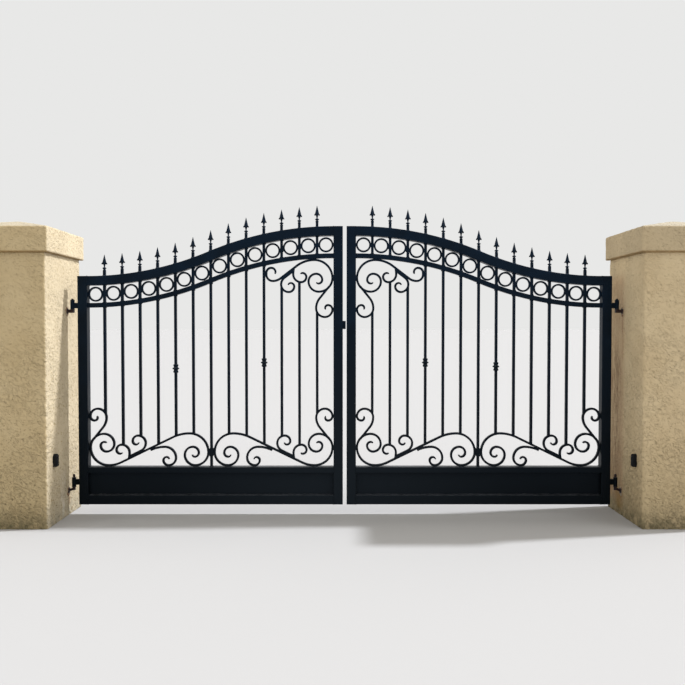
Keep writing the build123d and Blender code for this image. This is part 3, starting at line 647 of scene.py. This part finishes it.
# Weld pads at every place where the bars, rings and scrolls of a leaf meet what carries them
def buildWeldPads(side, master):
    weld = {"proud": 3.2 * mm, "height": 3.6 * mm}
    meetings = [
        ("pickets", "mid_rail"), ("pickets", "ring_rail"), ("pickets", "bottom_scrolls"),
        ("pickets", "top_scroll"), ("ring_bars", "ring_rail"), ("ring_bars", "top_rail"),
        ("rings", "ring_rail"), ("rings", "top_rail"), ("rings", "ring_bars"),
        ("rings", "hinge_stile"), ("rings", "meeting_stile"), ("bottom_scrolls", "mid_rail"),
        ("bottom_scrolls", "hinge_stile"), ("bottom_scrolls", "meeting_stile"),
        ("top_scroll", "ring_rail"), ("top_scroll", "meeting_stile"), ("finials", "top_rail"),
        ("upper_hinge_eye", "hinge_stile"), ("lower_hinge_eye", "hinge_stile")]
    pads = []
    for first, second in meetings:
        for middle, half in touchingPlaces(f"{side}_{first}", f"{side}_{second}"):
            size = [max(reach + weld["proud"], weld["height"]) for reach in half]
            turn = (0, 0, math.pi * (len(pads) % 2))
            pads.append(copyTo(master, middle, turn, size))
    print(side, "weld pads", len(pads))
    piece = joinAs(f"{side}_weld_pads", pads)
    dress(piece, enamel, f"{side}_leaf")


padMaster = weldPadMaster()
for side in sides:
    buildWeldPads(side, padMaster)
bpy.data.objects.remove(padMaster)


# Hand-laid bead between two points: a round path in short lengths, swollen and pinched by two noises
def weldBead(start, end, bead, seed):
    along = Vector(end) - Vector(start)
    lengths = int(along.length / bead["step"]) + 1
    path = bpy.data.curves.new("bead", "CURVE")
    path.dimensions = "3D"
    path.bevel_depth = bead["radius"]
    path.bevel_resolution = bead["roundness"]
    path.use_fill_caps = True
    line = path.splines.new("POLY")
    line.points.add(lengths)
    for i, point in enumerate(line.points):
        point.co = (*(Vector(start) + along * i / lengths), 1)
    piece = bpy.data.objects.new("bead", path)
    bpy.context.collection.objects.link(piece)
    makeActive(piece)
    bpy.ops.object.convert(target="MESH")
    piece = bpy.context.object
    editAll()
    bpy.ops.mesh.remove_doubles(threshold=0.01 * mm)
    bpy.ops.mesh.normals_make_consistent(inside=False)
    bpy.ops.transform.vertex_random(offset=bead["scatter"], uniform=0.5, normal=0.5, seed=seed)
    leaveEdit()
    addClouds(piece, "drips", bead["runLength"], bead["swell"], bead["middle"])
    addClouds(piece, "ripple", bead["ripple"], bead["bump"], bead["middle"])
    applyModifiers(piece)
    bpy.ops.object.shade_smooth()
    return piece


# Four beads round an outline, added to those laid before
def weldRound(corners, bead, beads):
    for i, corner in enumerate(corners):
        beads.append(weldBead(corner, corners[(i + 1) % 4], bead, len(beads) + 1))


# Beads round the kick panel's four edges, front and back
def buildPanelWelds(side):
    bead = {
        "radius": 3.4 * mm, "roundness": 2, "step": 6 * mm, "scatter": 0.8 * mm, "runLength": 70 * mm,
        "swell": 7 * mm, "ripple": 14 * mm, "bump": 3 * mm, "middle": 0.52, "inset": 1.5 * mm,
    }
    low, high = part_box(f"{side}_kick_panel")
    beads = []
    for face, out in ((low.y, -1), (high.y, 1)):
        y = face + out * bead["inset"]
        left, right = low.x + bead["inset"], high.x - bead["inset"]
        bottom, top = low.z + bead["inset"], high.z - bead["inset"]
        weldRound([(left, y, bottom), (right, y, bottom), (right, y, top), (left, y, top)], bead, beads)
    piece = joinAs(f"{side}_panel_welds", beads)
    dress(piece, enamel, f"{side}_leaf")


# Beads round both ends of each rail, where it is butted to the stiles
def buildFrameWelds(side):
    bead = {
        "radius": 2.3 * mm, "roundness": 2, "step": 7 * mm, "scatter": 0.6 * mm, "runLength": 40 * mm,
        "swell": 2.5 * mm, "ripple": 13 * mm, "bump": 1.8 * mm, "middle": 0.52, "reach": 1.0 * mm,
    }
    beads = []
    for rail in ("top_rail", "ring_rail", "mid_rail", "bottom_rail"):
        for stile in ("hinge_stile", "meeting_stile"):
            low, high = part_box(f"{side}_{stile}")
            points = [v.co for v in nodes[f"{side}_{rail}"].data.vertices]
            x = min((low.x, high.x), key=lambda face: min(abs(p.x - face) for p in points))
            end = [p for p in points if abs(p.x - x) < bead["reach"]]
            front, back = min(p.y for p in end), max(p.y for p in end)
            bottom, top = min(p.z for p in end), max(p.z for p in end)
            weldRound([(x, front, bottom), (x, back, bottom), (x, back, top), (x, front, top)], bead, beads)
    piece = joinAs(f"{side}_frame_welds", beads)
    dress(piece, enamel, f"{side}_leaf")


for side in sides:
    buildPanelWelds(side)
    buildFrameWelds(side)
print("welds made")


# Round head on top of a hinge pin, and the ring of weld where the arm meets its flange
def buildHingeDetails(side, level):
    hinge = {
        "pinRadius": 7.8 * mm, "domeHeight": 5 * mm, "domeSunk": 0.1 * mm, "edgeAngle": math.radians(40),
        "armRadius": {"upper": 11.5 * mm, "lower": 8.5 * mm}, "ringClear": 0.8 * mm, "ringMinor": 3 * mm,
        "wallToRing": 8.2 * mm, "flangeReach": 0.5 * mm, "scatter": 0.7 * mm, "seed": 7,
    }
    joint = next(j for j in frame["joints"] if j["name"] == f"{side}_leaf_swing")
    pinX, pinY = joint["pos_m"][:2]
    low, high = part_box(f"{side}_{level}_pintle")
    deselectAll()
    bpy.ops.mesh.primitive_uv_sphere_add(
        segments=20, ring_count=10, radius=hinge["pinRadius"], location=(pinX, pinY, high.z))
    dome = bpy.context.object
    editAll()
    bpy.ops.mesh.bisect(
        plane_co=(0, 0, high.z - hinge["domeSunk"]), plane_no=(0, 0, 1), clear_inner=True, use_fill=True)
    bpy.ops.mesh.select_all(action="SELECT")
    bpy.ops.transform.resize(
        value=(1, 1, hinge["domeHeight"] / hinge["pinRadius"]), center_override=(pinX, pinY, high.z))
    leaveEdit()
    bpy.ops.object.shade_smooth_by_angle(angle=hinge["edgeAngle"])

    # The flange's middle is the pintle's own where it meets the pillar
    wall, inward = (low.x, 1) if side == "left" else (high.x, -1)
    points = [v.co for v in nodes[f"{side}_{level}_pintle"].data.vertices]
    flange = [p.z for p in points if abs(p.x - wall) < hinge["flangeReach"]]
    middle = (min(flange) + max(flange)) / 2
    deselectAll()
    bpy.ops.mesh.primitive_torus_add(
        major_radius=hinge["armRadius"][level] + hinge["ringClear"], minor_radius=hinge["ringMinor"],
        major_segments=28, minor_segments=8, location=(wall + inward * hinge["wallToRing"], pinY, middle),
        rotation=(0, math.pi / 2, 0))
    ring = bpy.context.object
    editAll()
    bpy.ops.transform.vertex_random(offset=hinge["scatter"], uniform=0.6, normal=0.4, seed=hinge["seed"])
    leaveEdit()
    bpy.ops.object.shade_smooth()
    piece = joinAs(f"{side}_{level}_pintle_details", [dome, ring])
    dress(piece, hingeIron, "posts")
    return Vector((wall, pinY, middle))


# Ragged collar of mortar that packs the flange into the stucco, sagging a little below it
def buildMortar(side, level, middle, seed):
    patch = {
        "radius": 25 * mm, "depth": 9 * mm, "sag": 5 * mm, "tall": 1.25, "cuts": 3, "scatter": 1.2 * mm,
        "ragged": 5 * mm, "raggedSize": 16 * mm, "lumps": 2.5 * mm, "lumpSize": 6 * mm,
    }
    deselectAll()
    bpy.ops.mesh.primitive_cylinder_add(
        vertices=40, radius=patch["radius"], depth=patch["depth"], end_fill_type="TRIFAN",
        location=middle - Vector((0, 0, patch["sag"])), rotation=(0, math.pi / 2, 0))
    piece = bpy.context.object
    piece.scale = (patch["tall"], 1, 1)
    applyPlace(piece)
    editAll()
    bpy.ops.mesh.subdivide(number_cuts=patch["cuts"])
    bpy.ops.transform.vertex_random(offset=patch["scatter"], uniform=0.5, normal=0.5, seed=seed)
    leaveEdit()
    addClouds(piece, "ragged", patch["raggedSize"], patch["ragged"])
    addClouds(piece, "lumps", patch["lumpSize"], patch["lumps"])
    applyModifiers(piece)
    bpy.ops.object.shade_smooth()
    piece = joinAs(f"{side}_{level}_mortar", [piece])
    dress(piece, mortar, "posts")


for side in sides:
    for level in ("upper", "lower"):
        middle = buildHingeDetails(side, level)
        buildMortar(side, level, middle, len(side + level))
print("hinge details made")


# Sensor on a pillar's inner face: rounded cover, beam lens in its bezel, two screws
sensor = {
    "rounding": 6.5 * mm, "roundingSteps": 5, "clearOfLens": 14 * mm, "edgeAngle": math.radians(40),
    "lensDrop": 19 * mm, "lensRadius": 10.6 * mm, "lensBulge": 5 * mm, "lensSeat": 2.8 * mm, "lensSkirt": 0.2 * mm,
    "bezelRadius": 11.6 * mm, "bezelMinor": 1.3 * mm, "screwRadius": 3.2 * mm, "screwProud": 1.6 * mm,
    "screwInset": 9 * mm, "screwBevel": 0.5 * mm,
}


# The moulding's outer edge is well rounded, and the lens's recess is left crisp
def buildSensorCover(side, lensMiddle):
    solid = nodes[f"{side}_sensor"]
    bpy.context.tool_settings.mesh_select_mode = (False, True, False)
    piece = copySolid(solid, f"{side}_sensor_cover")
    bpy.ops.mesh.dissolve_limited(angle_limit=math.radians(1))
    bpy.ops.mesh.select_all(action="DESELECT")
    leaveEdit()
    points = piece.data.vertices
    for edge in piece.data.edges:
        ends = [points[i].co for i in edge.vertices]
        onFace = all(abs(end.x - lensMiddle.x) < 0.05 * mm for end in ends)
        edge.select = onFace and all((end - lensMiddle).length > sensor["clearOfLens"] for end in ends)
    bpy.ops.object.mode_set(mode="EDIT")
    bpy.ops.mesh.bevel(offset=sensor["rounding"], segments=sensor["roundingSteps"], clamp_overlap=True)
    leaveEdit()
    bpy.context.tool_settings.mesh_select_mode = (True, False, False)
    bpy.ops.object.shade_smooth_by_angle(angle=sensor["edgeAngle"])
    dress(piece, sensorPlastic, "posts")
    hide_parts(solid.name)
    print(piece.name, "faces", len(piece.data.polygons))


# The lens sits in its recess and looks across the driveway
def buildSensorLens(side, lensMiddle, inward):
    seat = lensMiddle - Vector((inward * sensor["lensSeat"], 0, 0))
    deselectAll()
    bpy.ops.mesh.primitive_uv_sphere_add(segments=28, ring_count=14, radius=sensor["lensRadius"], location=seat)
    lens = bpy.context.object
    editAll()
    bpy.ops.transform.resize(value=(sensor["lensBulge"] / sensor["lensRadius"], 1, 1), center_override=seat)
    bpy.ops.mesh.bisect(
        plane_co=(seat.x - inward * sensor["lensSkirt"], 0, 0), plane_no=(inward, 0, 0), clear_inner=True,
        use_fill=True)
    leaveEdit()
    bpy.ops.object.shade_smooth_by_angle(angle=sensor["edgeAngle"])
    lens = joinAs(f"{side}_sensor_lens", [lens])
    dress(lens, lensAcrylic, "posts")


# Bezel round the lens, and the cover's two screws below it
def buildSensorTrim(side, lensMiddle):
    low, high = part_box(f"{side}_sensor")
    deselectAll()
    bpy.ops.mesh.primitive_torus_add(
        major_radius=sensor["bezelRadius"], minor_radius=sensor["bezelMinor"], major_segments=32,
        minor_segments=8, location=lensMiddle, rotation=(0, math.pi / 2, 0))
    bpy.ops.object.shade_smooth()
    parts = [bpy.context.object]
    for y in (low.y + sensor["screwInset"], high.y - sensor["screwInset"]):
        deselectAll()
        bpy.ops.mesh.primitive_cylinder_add(
            vertices=20, radius=sensor["screwRadius"], depth=2 * sensor["screwProud"],
            location=(lensMiddle.x, y, low.z + sensor["screwInset"]), rotation=(0, math.pi / 2, 0))
        parts.append(bpy.context.object)
        editAll()
        bpy.ops.mesh.bevel(offset=sensor["screwBevel"], segments=2)
        leaveEdit()
        bpy.ops.object.shade_smooth_by_angle(angle=sensor["edgeAngle"])
    piece = joinAs(f"{side}_sensor_trim", parts)
    dress(piece, sensorPlastic, "posts")


for side in sides:
    low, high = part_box(f"{side}_sensor")
    face, inward = (high.x, 1) if side == "left" else (low.x, -1)
    lensMiddle = Vector((face, (low.y + high.y) / 2, high.z - sensor["lensDrop"]))
    buildSensorCover(side, lensMiddle)
    buildSensorLens(side, lensMiddle, inward)
    buildSensorTrim(side, lensMiddle)
print("sensor details made")


# Plain pale floor and even sky, a key from above on the right and a little behind, and two broad fills
studio = {
    "floorSize": 400.0, "floorColour": "#AAA8A5", "floorRoughness": 0.9, "floorSpecular": 0.1,
    "skyColour": "#F8F7F5", "horizon": 0.52, "overhead": 0.84, "backdrop": "#E8E8E7",
    "lamps": {
        "key": {"from": (0.67, 0.12, 0.73), "colour": "#F2F6FF", "strength": 4.7, "softness": 3},
        "left": {"from": (-0.8, -0.22, 0.55), "colour": "#FFFFFF", "strength": 0.9, "softness": 70},
        "right": {"from": (0.9, -0.15, 0.4), "colour": "#FFFFFF", "strength": 1.7, "softness": 90}},
}


def buildStudio():
    deselectAll()
    bpy.ops.mesh.primitive_plane_add(size=studio["floorSize"], location=(0, 0, 0))
    floor = bpy.context.object
    floor.name = "studio_floor"
    material, tree, shader = newMaterial("pale_floor")
    shader.inputs["Base Color"].default_value = linearColour(studio["floorColour"])
    shader.inputs["Roughness"].default_value = studio["floorRoughness"]
    shader.inputs["Specular IOR Level"].default_value = studio["floorSpecular"]
    floor.data.materials.append(material)

    # The sky lights the object, and the camera and the paint's sheen see the even backdrop
    world = bpy.data.worlds.new("studio_sky")
    world.use_nodes = True
    tree = world.node_tree
    tree.nodes.clear()
    direction = addNode(tree, "ShaderNodeTexCoord").outputs["Generated"]
    height = addNode(tree, "ShaderNodeSeparateXYZ", inputs={0: direction}).outputs["Z"]
    strength = addNode(tree, "ShaderNodeMapRange", inputs={
        "Value": height, "To Min": studio["horizon"], "To Max": studio["overhead"]}).outputs[0]
    sky = addNode(tree, "ShaderNodeBackground", inputs={
        "Color": linearColour(studio["skyColour"]), "Strength": strength})
    backdrop = addNode(tree, "ShaderNodeBackground", inputs={"Color": linearColour(studio["backdrop"])})
    rays = addNode(tree, "ShaderNodeLightPath").outputs
    seen = addNode(tree, "ShaderNodeMath", {"operation": "MAXIMUM"}, {
        0: rays["Is Camera Ray"], 1: rays["Is Glossy Ray"]}).outputs[0]
    seen = addNode(tree, "ShaderNodeMath", {"operation": "MAXIMUM"}, {
        0: seen, 1: rays["Is Transmission Ray"]}).outputs[0]
    mixed = addNode(tree, "ShaderNodeMixShader", inputs={0: seen, 1: sky.outputs[0], 2: backdrop.outputs[0]})
    addNode(tree, "ShaderNodeOutputWorld", inputs={"Surface": mixed.outputs[0]})
    bpy.context.scene.world = world

    for name, light in studio["lamps"].items():
        bpy.ops.object.light_add(type="SUN", location=(3, 3, 5))
        lamp = bpy.context.object
        lamp.name = name + "_light"
        lamp.data.color = linearColour(light["colour"])[:3]
        lamp.data.energy = light["strength"]
        lamp.data.angle = math.radians(light["softness"])
        lamp.rotation_euler = Vector(light["from"]).to_track_quat("Z", "Y").to_euler()
    bpy.context.scene.view_settings.view_transform = "Standard"


# The photograph's viewing angle: 4.9 m in front of the gate's middle, almost level, a little below eye height
camera = {"place": (-0.0152, -4.887, 1.316), "tilt": 88.6, "lens": 37.68, "sensor": 36.0}


def placeCamera():
    bpy.ops.object.camera_add(location=camera["place"], rotation=(math.radians(camera["tilt"]), 0, 0))
    view = bpy.context.object
    view.name = "photo_view"
    view.data.lens = camera["lens"]
    view.data.sensor_width = camera["sensor"]
    bpy.context.scene.camera = view


buildStudio()
placeCamera()
print("studio and camera set")
